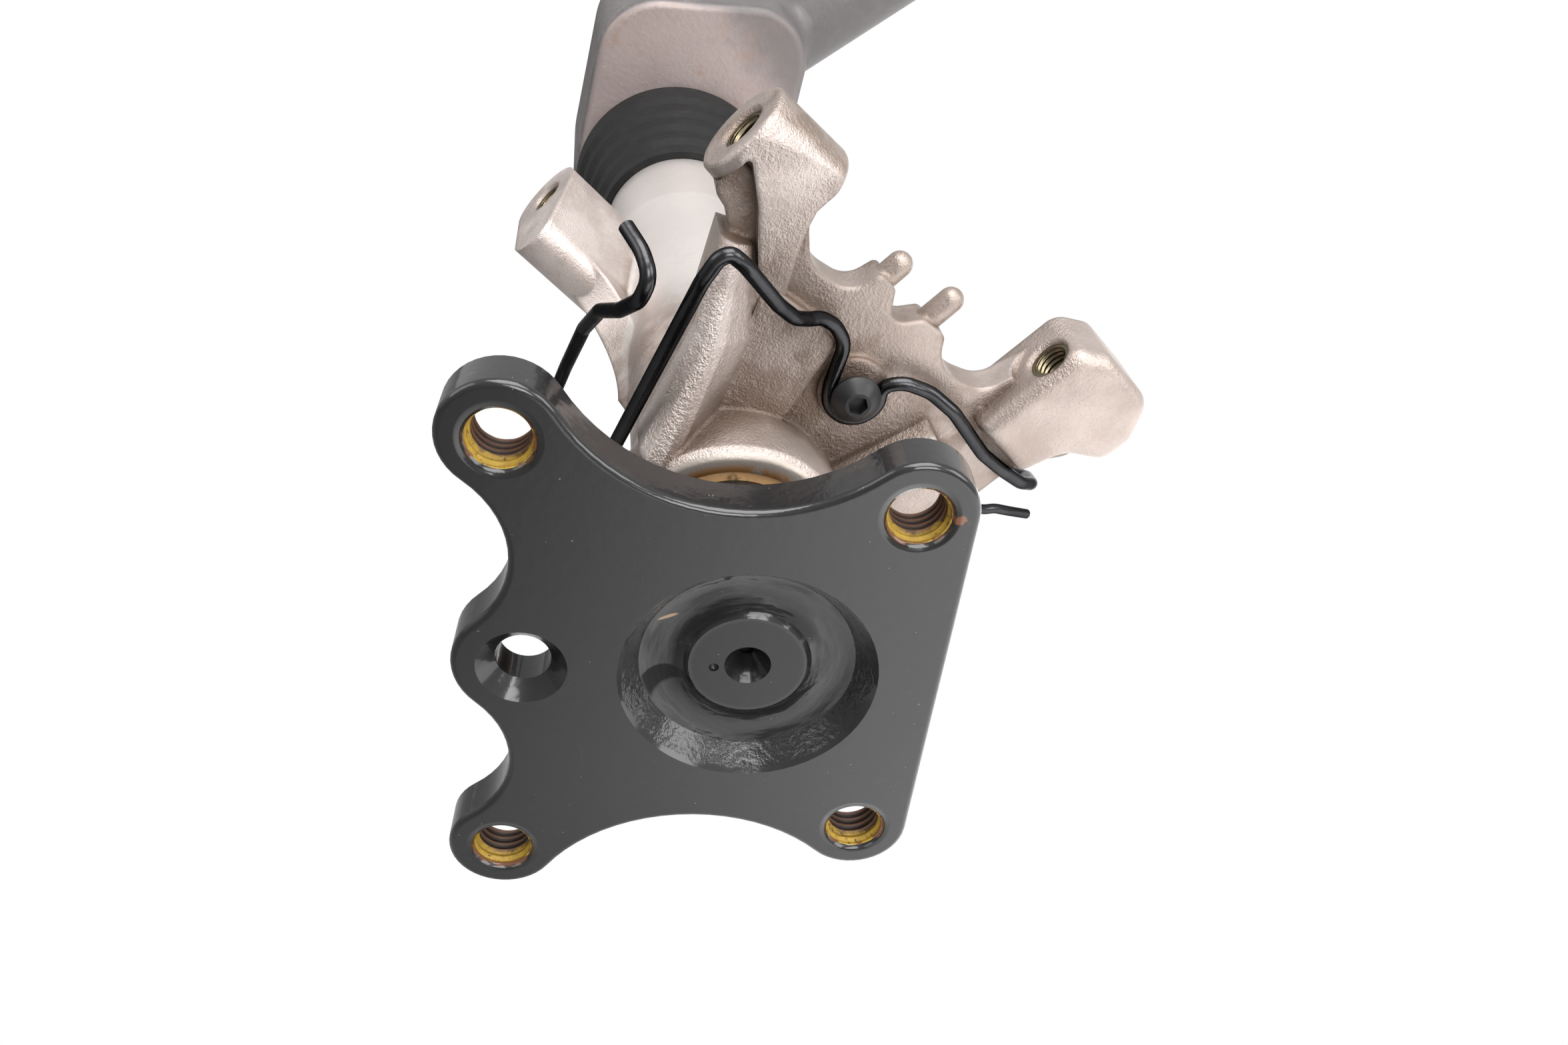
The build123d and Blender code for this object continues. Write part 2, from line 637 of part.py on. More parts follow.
def wire_guide():
    """One bent wire that guides cables past the stem: two hairpins and an eye under the screw."""
    left = [
        (-26, 46.5, 72), (-23, 41, 69.5), (-21.5, 37.5, 66), (-23, 38, 61), (-26.5, 48, 54), (-30, 59, 48.5),
        (-33, 76, 36), (-37, 97, 15), (-40.5, 112, -3), (-42, 116, -17), (-40, 106, -28), (-37, 90, -24),
        (-33.4, 74, -9), (-29.6, 61, 5), (-11.8, 36.9, 66), (-9.2, 36, 71.1), (-7, 36, 72.2), (-4.2, 36.6, 70),
        (4.1, 43, 59.4), (8.6, 47, 54.8), (12.1, 51, 52.9), (15.5, 54, 52), (19, 56, 49.5), (22.2, 57.8, 44.5),
    ]
    right = [
        (36.6, 57.6, 35.9), (42.8, 57, 34.1), (48.9, 56.5, 29.6), (58, 57, 18.8), (64.3, 58, 13.8),
        (70.5, 61, 8.9), (75.5, 66, 5.5), (79, 78, 0), (80, 98, -10), (79, 116, -22), (79, 128, -36),
        (84, 136, -44), (93, 138.5, -50.4), (98, 140, -50.6), (103.8, 142, -52.8), (112, 147, -57),
    ]
    points = left + eye_points() + right
    route = FilletPolyline(*points, radius=bend_radii(points, 9.0))
    body = sweep(Plane(route @ 0, z_dir=route % 0) * Circle(wireRadius), route)
    ratio = body.volume / (route.length * 3.14159265 * wireRadius ** 2)
    print("wire length", round(route.length, 1), "volume against section times length", round(ratio, 4))
    return body


def main():
    os.makedirs("parts", exist_ok=True)
    upperStart = holderFront + sealDepth
    lowerStart = holderRear - sealDepth - bearingWidth
    parts = {"stem_shaft": stem_shaft()}
    parts["bearing_holder"] = bearing_holder()
    parts["thread_inserts"] = thread_inserts()
    for name, start in (("upper", upperStart), ("lower", lowerStart)):
        outer, inner, balls, cage = bearing(start)
        parts[name + "_outer_race"] = outer
        parts[name + "_inner_race"] = inner
        parts[name + "_balls"] = balls
        parts[name + "_cage"] = cage
    parts["upper_dust_seal"] = seal(holderFront, 1)
    parts["lower_dust_seal"] = seal(holderRear, -1)
    spacerStart = upperStart + bearingWidth
    spacerLength = lowerStart - spacerStart
    parts["race_spacer"] = ring(journalRadius + 0.1, raceStopRadius - 0.3, spacerStart, spacerLength)
    sleeveStart = lowerStart + bearingWidth
    sleeveLength = webFront - 1 - sleeveStart
    parts["hub_sleeve"] = ring(journalRadius + seatClear, collarRadius, sleeveStart, sleeveLength)
    parts["dust_boot"] = boot()
    parts["lower_arm"] = lower_arm()
    parts["castle_nut"] = castle_nut()
    parts["nut_washer"] = nut_washer()
    parts["split_pin"] = split_pin()
    parts["wire_guide"] = wire_guide()
    parts["guide_screw"] = socket_screw()
    for name, shape in parts.items():
        export_step(shape, f"parts/{name}.step")


main()
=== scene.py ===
import bpy
import json
import math
import numpy as np
from mathutils import Matrix, Vector


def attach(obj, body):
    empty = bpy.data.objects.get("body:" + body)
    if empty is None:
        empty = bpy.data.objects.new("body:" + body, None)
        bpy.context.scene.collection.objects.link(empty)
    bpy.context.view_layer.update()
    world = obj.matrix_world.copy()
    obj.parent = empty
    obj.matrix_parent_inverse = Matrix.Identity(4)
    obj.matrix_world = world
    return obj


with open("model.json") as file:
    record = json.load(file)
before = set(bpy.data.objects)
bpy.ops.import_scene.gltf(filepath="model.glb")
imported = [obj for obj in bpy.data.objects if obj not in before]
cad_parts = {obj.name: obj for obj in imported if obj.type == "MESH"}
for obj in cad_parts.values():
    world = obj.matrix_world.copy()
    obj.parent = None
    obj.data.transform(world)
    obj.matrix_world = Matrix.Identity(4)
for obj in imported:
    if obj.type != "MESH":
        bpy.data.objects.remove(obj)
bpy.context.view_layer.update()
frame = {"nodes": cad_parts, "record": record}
print("frame loaded")

# Camera at the photograph's place, measured from the plate's holes and the neck
camera = {
    "place": (-0.03514, -0.1852, 0.16342),
    "forward": (0.166, 0.8147, -0.5556),
    "up": (-0.0276, 0.567, 0.8233),
    "lens": 29.34,
    "sensor": 36,
    "clip": (0.01, 50),
    "size": (2352, 1568),
}


def addCamera(values):
    forward = Vector(values["forward"]).normalized()
    right = forward.cross(Vector(values["up"])).normalized()
    up = right.cross(forward)
    data = bpy.data.cameras.new("photo_camera")
    data.lens = values["lens"]
    data.sensor_width = values["sensor"]
    data.clip_start, data.clip_end = values["clip"]
    holder = bpy.data.objects.new("photo_camera", data)
    turn = Matrix((right, up, -forward)).transposed().to_4x4()
    holder.matrix_world = Matrix.Translation(Vector(values["place"])) @ turn
    bpy.context.scene.collection.objects.link(holder)
    bpy.context.scene.camera = holder


addCamera(camera)
scene = bpy.context.scene
scene.render.engine = "CYCLES"
scene.view_settings.view_transform = "Standard"
scene.render.resolution_x, scene.render.resolution_y = camera["size"]
print("camera set")

# Directions of the shared frame: the shaft runs along alongShaft
sideways = (1, 0, 0)
alongShaft = (0, 1, 0)
upright = (0, 0, 1)


def crossDirections(angle):
    # Two directions square to the shaft: one at this angle in degrees above sideways, one a quarter turn on
    turn = math.radians(angle)
    return (math.cos(turn), 0, math.sin(turn)), (-math.sin(turn), 0, math.cos(turn))


# Shader helpers: each returns a socket or a node of the given tree
def setSocket(tree, socket, value):
    if isinstance(value, bpy.types.NodeSocket):
        tree.links.new(value, socket)
    else:
        socket.default_value = value


def wire(tree, node, inputs):
    for key, value in inputs.items():
        setSocket(tree, node.inputs[key], value)


def makeNode(tree, kind, attributes=None, inputs=None):
    node = tree.nodes.new(kind)
    for key, value in (attributes or {}).items():
        setattr(node, key, value)
    wire(tree, node, inputs or {})
    return node


def calc(tree, operation, *values):
    inputs = dict(enumerate(values))
    return makeNode(tree, "ShaderNodeMath", {"operation": operation}, inputs).outputs[0]


def product(tree, first, *others):
    for other in others:
        first = calc(tree, "MULTIPLY", first, other)
    return first


def greatest(tree, first, *others):
    for other in others:
        first = calc(tree, "MAXIMUM", first, other)
    return first


def scaled(tree, value, factor, base):
    return calc(tree, "MULTIPLY_ADD", value, factor, base)


def span(tree, value, low, high, outLow=0.0, outHigh=1.0):
    # Smooth step from outLow where the value is low to outHigh where it is high; low may be the greater one
    inputs = {"Value": value, "From Min": low, "From Max": high, "To Min": outLow, "To Max": outHigh}
    step = makeNode(tree, "ShaderNodeMapRange", {"interpolation_type": "SMOOTHSTEP"}, inputs)
    return step.outputs[0]


def spanFrom(tree, value, edge, offsets):
    return span(tree, value, edge + offsets[0], edge + offsets[1])


def band(tree, value, rise, fall):
    return product(tree, span(tree, value, *rise), span(tree, value, *fall))


def mixColour(tree, amount, first, second):
    inputs = {0: amount, 6: first, 7: second}
    return makeNode(tree, "ShaderNodeMix", {"data_type": "RGBA"}, inputs).outputs[2]


def layers(tree, colour, *steps):
    # Lays one colour after another over the first, each by its own amount
    for amount, over in steps:
        colour = mixColour(tree, amount, colour, over)
    return colour


def dimmed(colour, share):
    return [part * share for part in colour[:3]] + [1]


def along(tree, vector, direction):
    inputs = {0: vector, 1: direction}
    return makeNode(tree, "ShaderNodeVectorMath", {"operation": "DOT_PRODUCT"}, inputs).outputs[1]


def noise(tree, vector, scale, detail, rough=0.55):
    inputs = {"Vector": vector, "Scale": scale, "Detail": detail, "Roughness": rough}
    return makeNode(tree, "ShaderNodeTexNoise", {}, inputs).outputs[0]


def patches(tree, vector, texture, limits):
    return span(tree, noise(tree, vector, *texture), *limits)


def distance(tree, u, v, centreU=0.0, centreV=0.0):
    du = calc(tree, "SUBTRACT", u, centreU)
    dv = calc(tree, "SUBTRACT", v, centreV)
    return calc(tree, "SQRT", scaled(tree, du, du, product(tree, dv, dv)))


def bump(tree, height, strength, reach, normal=None):
    inputs = {"Height": height, "Strength": strength, "Distance": reach}
    if normal:
        inputs["Normal"] = normal
    return makeNode(tree, "ShaderNodeBump", {}, inputs).outputs[0]


def crevice(tree, reach, low, high, samples=6):
    # 1 deep in a corner, where little of the sky within reach is seen, and 0 in the open
    sky = makeNode(tree, "ShaderNodeAmbientOcclusion", {"samples": samples}, {"Distance": reach})
    return span(tree, sky.outputs["AO"], high, low)


def newMaterial(name):
    material = bpy.data.materials.new(name)
    material.use_nodes = True
    tree = material.node_tree
    tree.nodes.clear()
    coordinates = makeNode(tree, "ShaderNodeTexCoord").outputs["Object"]
    surface = makeNode(tree, "ShaderNodeBsdfPrincipled")
    makeNode(tree, "ShaderNodeOutputMaterial", {}, {"Surface": surface.outputs[0]})
    return material, tree, coordinates, surface


# In the dictionaries below lengths are in metres. A noise is its scale, detail and roughness, and patches
# are a noise with the limits between which they fade in. Pairs of limits may fall as well as rise.

# The plate's lean in degrees, and its holes as places across and up the plate
plate = {
    "lean": 3.8,
    "rearHole": (-0.0472, 0.050),
    "frontHole": (0.0268, 0.040),
    "holeRadius": 0.006,
    "recessRadius": 0.0254,
    "floorRadius": 0.0214,
    "islandRadius": 0.0117,
}


def plateDirections(values):
    turn = math.radians(values["lean"])
    across = (math.cos(turn), -math.sin(turn), 0)
    outward = (-math.sin(turn), -math.cos(turn), 0)
    return across, upright, outward


def plateSpot(tree, where, values):
    return [along(tree, where, direction) for direction in plateDirections(values)]


def nearestHole(tree, u, v, values):
    # The threaded holes lie alike above and below the middle, so the height's sign is dropped
    tall = calc(tree, "ABSOLUTE", v)
    rear = distance(tree, u, tall, *values["rearHole"])
    front = distance(tree, u, tall, *values["frontHole"])
    return calc(tree, "MINIMUM", rear, front)


# Marks in the recess: cast skin on its wall, strokes in the groove, the cutter's crescent and a notch
recess = {
    "wallFoot": (-0.0008, 0.0006),       # from the floor's radius
    "wallTop": (0.0003, -0.0006),        # from the recess's radius
    "wallDepth": (-0.0004, -0.0014),
    "floorRim": (0.0004, -0.0006),       # from the floor's radius
    "floorDepth": (-0.0030, -0.0040),
    "grooveStart": (0.0001, 0.0008),     # from the island's radius
    "strokeWidth": 240.0,
    "strokes": (1.0, 3, 0.5),
    "ditchReach": (0.0185, 0.0135),
    "ditchLimits": (0.36, 0.58),
    "ditchAmount": 0.75,
    "streakLimits": (0.52, 0.66),
    "streakAmount": 0.45,
    "cutterSpot": (-0.0155, -0.0082),
    "clearedSpot": (-0.0125, -0.0116),
    "cutterRadius": 0.0060,
    "cutterEdge": (0.0002, -0.0002),
    "clearedEdge": (-0.0006, 0.0006),
    "notch": (-0.0058, 0.0203),
    "notchEdge": (0.0008, 0.0005),
    "islandEdge": (-0.0002, -0.0010),
    "islandAmount": 0.30,
}


def recessStrokes(tree, u, v, centre, values):
    # Strokes that run round the recess: noise of the unit direction and of the distance from the centre
    spot = {"X": calc(tree, "DIVIDE", u, centre), "Y": calc(tree, "DIVIDE", v, centre),
            "Z": product(tree, centre, values["strokeWidth"])}
    return noise(tree, makeNode(tree, "ShaderNodeCombineXYZ", {}, spot).outputs[0], *values["strokes"])


def recessMasks(tree, u, v, w, centre, values):
    # The wall, the groove, the strokes, and how far the marks take the gloss away
    foot = spanFrom(tree, centre, plate["floorRadius"], values["wallFoot"])
    top = spanFrom(tree, centre, plate["recessRadius"], values["wallTop"])
    wall = product(tree, foot, top, span(tree, w, *values["wallDepth"]))
    floor = product(tree, spanFrom(tree, centre, plate["floorRadius"], values["floorRim"]),
                    span(tree, w, *values["floorDepth"]))
    groove = product(tree, floor, spanFrom(tree, centre, plate["islandRadius"], values["grooveStart"]))
    strokes = recessStrokes(tree, u, v, centre, values)
    ditch = product(tree, groove, span(tree, centre, *values["ditchReach"]),
                    span(tree, strokes, *values["ditchLimits"]), values["ditchAmount"])
    streak = product(tree, groove, span(tree, strokes, *values["streakLimits"]), values["streakAmount"])
    cutter = spanFrom(tree, distance(tree, u, v, *values["cutterSpot"]),
                      values["cutterRadius"], values["cutterEdge"])
    cleared = spanFrom(tree, distance(tree, u, v, *values["clearedSpot"]),
                       values["cutterRadius"], values["clearedEdge"])
    crescent = product(tree, cutter, cleared, floor)
    notch = product(tree, span(tree, distance(tree, u, v, *values["notch"]), *values["notchEdge"]), floor)
    edgeFar, edgeNear = (plate["islandRadius"] + offset for offset in values["islandEdge"])
    island = span(tree, centre, edgeFar, edgeNear, 0.0, values["islandAmount"])
    return wall, groove, strokes, greatest(tree, crescent, notch, island, ditch, streak)


# Black paint of the plate and the stem
paint = {
    "colour": (0.010, 0.010, 0.0108, 1),
    "scuff": (0.42, 0.40, 0.38, 1),
    "tan": (0.42, 0.27, 0.15, 1),
    "rust": (0.12, 0.050, 0.022, 1),
    "chipRust": (0.17, 0.065, 0.030, 1),
    "steel": (0.30, 0.28, 0.26, 1),
    "specks": ((1100, 2), (0.755, 0.775)),
    "speckAmount": 0.35,
    "scratch": (-0.0163, 0.0098),
    "scratchAlong": (0.19, 0.07),
    "scratchAcross": (-0.34, 0.94),
    "scratchEdge": (0.00048, 0.00030),
    "scratchAmount": 0.7,
    "rustSpots": ((300, 4), (0.46, 0.58)),
    "rustRing": (0.0006, 0.0001),            # from the threaded hole's radius
    "nicks": ((300, 6, 0.75), (0.66, 0.71)),
    "nickAmount": 0.45,
    "sideFront": (-0.0001, -0.0016),
    "sideBack": (-0.0125, -0.0105),
    "sideFrom": (0.036, 0.040),
    "chip": (0.0342, 0.0402),
    "chipRagged": 0.0016,
    "chipEdge": (0.0020, 0.0016),
    "bareFrom": (-0.044, -0.045),            # out of the plate, so this lies on the shaft
    "broad": (45, 4),
    "fine": (900, 3),
    "rough": (0.16, 0.22),
    "rustRough": 0.4,
    "wallRough": -0.06,
    "peel": (330, 2),
    "peelBump": (0.10, 0.0006),
    "castSkin": (420, 4, 0.6),
    "castStrength": 0.32,
    "castReach": 0.0010,
    "strokeStrength": 0.30,
    "strokeReach": 0.0022,
    "lip": (0.0, 0.0017),                    # from the threaded hole's radius
    "lipBump": (0.75, 0.0008),
    "fineBump": (0.05, 0.0002),
    "specular": (-0.15, 0.2),
    "coat": (-0.75, 0.9),
    "coatRough": (0.05, 0.11),
}


def scratchMask(tree, u, v, values):
    # A short slanting stroke: an ellipse, long where the place along the scratch counts for little
    du = calc(tree, "SUBTRACT", u, values["scratch"][0])
    dv = calc(tree, "SUBTRACT", v, values["scratch"][1])
    lengthways, crossways = (scaled(tree, dv, shareV, product(tree, du, shareU))
                             for shareU, shareV in (values["scratchAlong"], values["scratchAcross"]))
    return span(tree, distance(tree, lengthways, crossways), *values["scratchEdge"])


def paintRelief(tree, where, near, wall, groove, strokes, fine, values):
    # Orange peel, the recess's cast wall, the strokes in its groove, the holes' worn lips and fine grain
    relief = bump(tree, noise(tree, where, *values["peel"]), *values["peelBump"])
    relief = bump(tree, noise(tree, where, *values["castSkin"]),
                  product(tree, wall, values["castStrength"]), values["castReach"], relief)
    relief = bump(tree, strokes, product(tree, groove, values["strokeStrength"]),
                  values["strokeReach"], relief)
    relief = bump(tree, spanFrom(tree, near, plate["holeRadius"], values["lip"]), *values["lipBump"], relief)
    return bump(tree, fine, *values["fineBump"], relief)


def paintMaterial(values):
    material, tree, where, surface = newMaterial("black_paint")
    u, v, w = plateSpot(tree, where, plate)
    near = nearestHole(tree, u, v, plate)
    centre = distance(tree, u, v)
    wall, groove, strokes, dim = recessMasks(tree, u, v, w, centre, recess)
    broad = noise(tree, where, *values["broad"])
    fine = noise(tree, where, *values["fine"])
    rust = product(tree, patches(tree, where, *values["rustSpots"]),
                   spanFrom(tree, near, plate["holeRadius"], values["rustRing"]))
    side = product(tree, band(tree, w, values["sideFront"], values["sideBack"]),
                   span(tree, centre, *values["sideFrom"]))
    chipped = scaled(tree, fine, values["chipRagged"], distance(tree, u, v, *values["chip"]))
    bareAndSheen = span(tree, w, *values["bareFrom"])
    colour = layers(
        tree, values["colour"],
        (product(tree, patches(tree, where, *values["specks"]), values["speckAmount"]), values["scuff"]),
        (product(tree, scratchMask(tree, u, v, values), values["scratchAmount"]), values["tan"]),
        (rust, values["rust"]),
        (product(tree, patches(tree, where, *values["nicks"]), side, values["nickAmount"]), values["scuff"]),
        (span(tree, chipped, *values["chipEdge"]), values["chipRust"]),
        (bareAndSheen, values["steel"]))
    rough = scaled(tree, broad, *values["rough"])
    rough = scaled(tree, rust, values["rustRough"], rough)
    rough = scaled(tree, wall, values["wallRough"], rough)
    relief = paintRelief(tree, where, near, wall, groove, strokes, fine, values)
    wire(tree, surface, {"Base Color": colour, "Roughness": rough, "Metallic": bareAndSheen, "Normal": relief,
                         "Specular IOR Level": scaled(tree, dim, *values["specular"]),
                         "Coat Weight": scaled(tree, dim, *values["coat"]), "Coat Normal": relief,
                         "Coat Roughness": scaled(tree, wall, *values["coatRough"])})
    return material


# Sand-cast aluminium of the holder, with dirt in its corners, and painted shade in its wide corners, on its
# undersides, behind the wing's front, along the neck and on the mouth's face; heights are along the bosses'
# holes
casting = {
    "turn": 48.0,                            # degrees that the bosses' holes lean from upright
    "light": (0.67, 0.59, 0.555, 1),
    "dark": (0.44, 0.375, 0.345, 1),
    "worn": (0.66, 0.62, 0.58, 1),
    "dirtAndShade": (0.13, 0.080, 0.050, 1),
    # Brown of the painted shade in the holder's corners, on its undersides, behind the wing and along the
    # neck
    "stainAndShade": (0.225, 0.17, 0.135, 1),
    "polished": (0.65, 0.61, 0.585, 1),
    # The mouth's colour is painted shade on the housing's front face
    "mouth": (0.40, 0.35, 0.31, 1),
    "grease": (0.36, 0.17, 0.055, 1),
    "broad": (42, 5, 0.6),
    "broadLimits": (0.36, 0.62),
    "coarse": (1035.0, 3, 0.6),
    "tops": (0.55, 0.75),
    "topAmount": 0.45,
    "grains": (2300.0, 2, 0.5),
    "pits": (0.46, 0.28),
    "pitAmount": 0.55,
    "blotches": (120, 5, 0.65),
    "dirtLimits": (0.36, 0.58),
    "dirtCorners": (0.012, 0.50, 0.92),      # reach, then the shares of sky seen
    "dirtAmount": 0.85,
    # Painted shade: the keys from here to wingShade place the holder's painted shade in wide corners, on
    # undersides and behind the wing's front
    "deepCorners": (0.045, 0.32, 0.92),
    "deepAmount": 0.85,
    "underside": (-0.0225, -0.0238),
    "undersideAmount": 0.52,
    "wingFront": (0.0565, 0.0585),
    "wingRear": (0.092, 0.082),
    "wingFoot": (-0.024, -0.016),
    "wingShade": (0.30, 0.50, 0.372, 0.62),
    # Patches of painted shade, in the dirt's colour, darken the area behind the wing's front further
    "wingShadePatches": ((75, 5, 0.62), (0.50, 0.66, 0.0, 0.75)),
    # Painted shade along the neck: a band darkened in blotchy patches
    "neckFoot": (0.086, 0.094),
    "neckFade": (0.150, 0.118),
    "neckShade": (0.34, 0.58, 0.35, 0.80),
    "flare": (0.14, 0.196, 0.0206, 0.0256),  # start and end of the flare, and the radius at each
    "neckSkin": (0.0024, 0.0014),
    "neckFrom": (0.105, 0.135),
    "neckAmount": 0.85,
    "mouthPlane": (0.0424, 0.0414),
    "mouthReach": (0.040, 0.038),
    "greasePlane": (0.0417, 0.0412),
    "greaseReach": (0.0242, 0.0222),
    "greaseSpots": ((200, 4), (0.30, 0.50)),
    "lumps": (260, 3),
    "lumpShare": 0.8,
    "coarseShare": 1.2,
    "neckSmooth": 0.7,
    "sandStrength": (-0.34, 0.42),
    "sanded": ((30, 2), (0.38, 0.60, 0.35, 1.0)),
    "sandReach": 0.0008,
    "edgeRound": 0.0016,
    "edgeSamples": 5,
    "rough": (0.16, 0.30),
    "metallic": 0.62,
}


def castPaintedShade(tree, where, y, broad, values):
    # Painted brown shade in wide corners and on the undersides, and a painted shaded area behind the wing's
    # front, darkened further there in patches by more painted shade
    height = along(tree, where, crossDirections(values["turn"])[1])
    deep = product(tree, crevice(tree, *values["deepCorners"]), values["deepAmount"],
                   span(tree, height, *values["underside"][::-1]))
    under = span(tree, height, *values["underside"], 0.0, values["undersideAmount"])
    behind = product(tree, band(tree, y, values["wingFront"], values["wingRear"]),
                     span(tree, height, *values["wingFoot"]), span(tree, broad, *values["wingShade"]))
    # Patches of further painted shade in the dirt's colour, only where the painted shaded area lies
    dirtAndShade = product(tree, patches(tree, where, *values["wingShadePatches"]), behind)
    return greatest(tree, deep, under, behind), dirtAndShade


def neckMask(tree, y, radius, values):
    # The bare neck: a straight tube that widens to the rear bearing's seat
    tube = span(tree, y, *values["flare"])
    skin = span(tree, calc(tree, "SUBTRACT", radius, tube), *values["neckSkin"])
    return product(tree, skin, span(tree, y, *values["neckFrom"]))


def castMaterial(values):
    material, tree, where, surface = newMaterial("cast_aluminium")
    y = along(tree, where, alongShaft)
    radius = distance(tree, along(tree, where, sideways), along(tree, where, upright))
    broad, grains, coarse, lumps, blotches = (
        noise(tree, where, *values[name]) for name in ("broad", "grains", "coarse", "lumps", "blotches"))
    dirtAndShade = product(tree, crevice(tree, *values["dirtCorners"]), span(tree, blotches, *values["dirtLimits"]),
                   values["dirtAmount"])
    paintedShade, wingShadePatches = castPaintedShade(tree, where, y, broad, values)
    neck = neckMask(tree, y, radius, values)
    # Painted shade: a band along the neck, darker in patches
    low = product(tree, band(tree, y, values["neckFoot"], values["neckFade"]),
                  span(tree, blotches, *values["neckShade"]))
    # Painted shade on the housing's mouth face
    face = product(tree, span(tree, y, *values["mouthPlane"]), span(tree, radius, *values["mouthReach"]))
    greasy = product(tree, span(tree, y, *values["greasePlane"]), span(tree, radius, *values["greaseReach"]),
                     patches(tree, where, *values["greaseSpots"]))
    colour = layers(
        tree, values["dark"],
        (span(tree, broad, *values["broadLimits"]), values["light"]),
        (product(tree, span(tree, coarse, *values["tops"]), values["topAmount"]), values["worn"]),
        (product(tree, span(tree, grains, *values["pits"]), values["pitAmount"]), values["dark"]),
        (dirtAndShade, values["dirtAndShade"]),
        # painted shade in wide corners, on undersides and behind the wing's front
        (paintedShade, values["stainAndShade"]),
        # patches of painted shade behind the wing's front
        (wingShadePatches, values["dirtAndShade"]),
        (product(tree, neck, values["neckAmount"]), values["polished"]),
        # painted shade along the neck
        (low, values["stainAndShade"]),
        (face, values["mouth"]),
        (greasy, values["grease"]))
    relief = scaled(tree, lumps, values["lumpShare"], scaled(tree, coarse, values["coarseShare"], grains))
    smooth = greatest(tree, face, product(tree, neck, values["neckSmooth"]))
    strength = product(tree, scaled(tree, smooth, *values["sandStrength"]),
                       patches(tree, where, *values["sanded"]))
    rounded = makeNode(tree, "ShaderNodeBevel", {"samples": values["edgeSamples"]},
                       {"Radius": values["edgeRound"]}).outputs[0]
    wire(tree, surface, {"Base Color": colour, "Metallic": values["metallic"],
                         "Roughness": scaled(tree, grains, *values["rough"]),
                         "Normal": bump(tree, relief, strength, values["sandReach"], rounded)})
    return material


# Plain finishes: a broad and a fine noise, and a stain for some; scale is that of the fine noise
plainLook = {
    "broadShare": 0.12,
    "broadDetail": 4,
    "broadLimits": (0.35, 0.7),
    "dim": 0.72,
    "fine": (4, 0.6),
    "stainShare": 0.3,
    "stainDetail": (5, 0.65),
    "stainLimits": (0.5, 0.68),
    "roughSpread": 0.2,
    "bumpReach": 0.0005,
}
plain = {
    "bright_steel": dict(colour=(0.50, 0.48, 0.45, 1), metallic=1.0, rough=0.34, scale=700, strength=0.15),
    "bearing_steel": dict(colour=(0.42, 0.40, 0.38, 1), metallic=1.0, rough=0.30, scale=900, strength=0.08),
    "black_wire": dict(colour=(0.058, 0.058, 0.061, 1), metallic=1.0, rough=0.25, scale=600, strength=0.10,
                       edge=0.35),
    "black_screw": dict(colour=(0.014, 0.014, 0.015, 1), metallic=0.2, rough=0.42, scale=800,
                        strength=0.12),
    "rubber": dict(colour=(0.010, 0.010, 0.0105, 1), metallic=0.0, rough=0.70, scale=600, strength=0.15,
                   stainAndShade=(0.022, 0.020, 0.019, 1), stainAmount=0.35, shine=0.3),
    "insert_steel": dict(colour=(0.21, 0.175, 0.115, 1), metallic=1.0, rough=0.32, scale=700,
                         strength=0.15, stainAndShade=(0.06, 0.04, 0.025, 1), stainAmount=0.8),
    "greasy_rubber": dict(colour=(0.72, 0.43, 0.20, 1), metallic=0.0, rough=0.42, scale=500, strength=0.25,
                          stainAndShade=(0.05, 0.025, 0.012, 1), stainAmount=0.9),
}


def plainMaterial(name, look, colour, metallic, rough, scale, strength, stainAndShade=None, stainAmount=0.0,
                  shine=0.5, edge=1.0):
    material, tree, where, surface = newMaterial(name)
    fine = noise(tree, where, scale, *look["fine"])
    worn = patches(tree, where, (scale * look["broadShare"], look["broadDetail"]), look["broadLimits"])
    shade = mixColour(tree, worn, colour, dimmed(colour, look["dim"]))
    if stainAndShade:
        stainNoise = (scale * look["stainShare"], *look["stainDetail"])
        paintedShade = patches(tree, where, stainNoise, look["stainLimits"])
        shade = mixColour(tree, product(tree, paintedShade, stainAmount), shade, stainAndShade)
    spread = look["roughSpread"]
    wire(tree, surface, {"Base Color": shade, "Metallic": metallic,
                         "Roughness": scaled(tree, fine, spread, rough - spread / 2),
                         "Specular IOR Level": shine, "Specular Tint": (edge, edge, edge, 1),
                         "Normal": bump(tree, fine, strength, look["bumpReach"])})
    return material


# Lower arm: a brown-grey face on the block, painted sheen of its black paint coloured as bare metal, and
# dark paint on its flanks and on the round arm
armFinish = {
    "face": (0.43, 0.355, 0.335, 1),
    "faceDim": 0.8,
    "paint": (0.100, 0.092, 0.092, 1),
    "rust": (0.34, 0.20, 0.14, 1),
    "broad": (36, 5, 0.6),
    "fine": (620, 4, 0.65),
    "faceFrom": (0.2737, 0.2717),            # along the shaft
    "faceRagged": 0.003,
    "flank": ((210, 6, 0.7), (0.42, 0.72)),
    "flankAmount": 0.30,
    "angle": 36.5,                           # degrees of the round arm above sideways
    "armFrom": (0.050, 0.068),
    "armRagged": 0.02,
    "armKept": -0.8,
    "shadeLimits": (0.35, 0.65),
    "rustSpots": ((55, 6, 0.7), (0.54, 0.68)),
    "rustAmount": 0.6,
    "metallic": 0.55,
    "rough": (0.2, 0.36),
    "fineBump": (0.25, 0.0006),
}


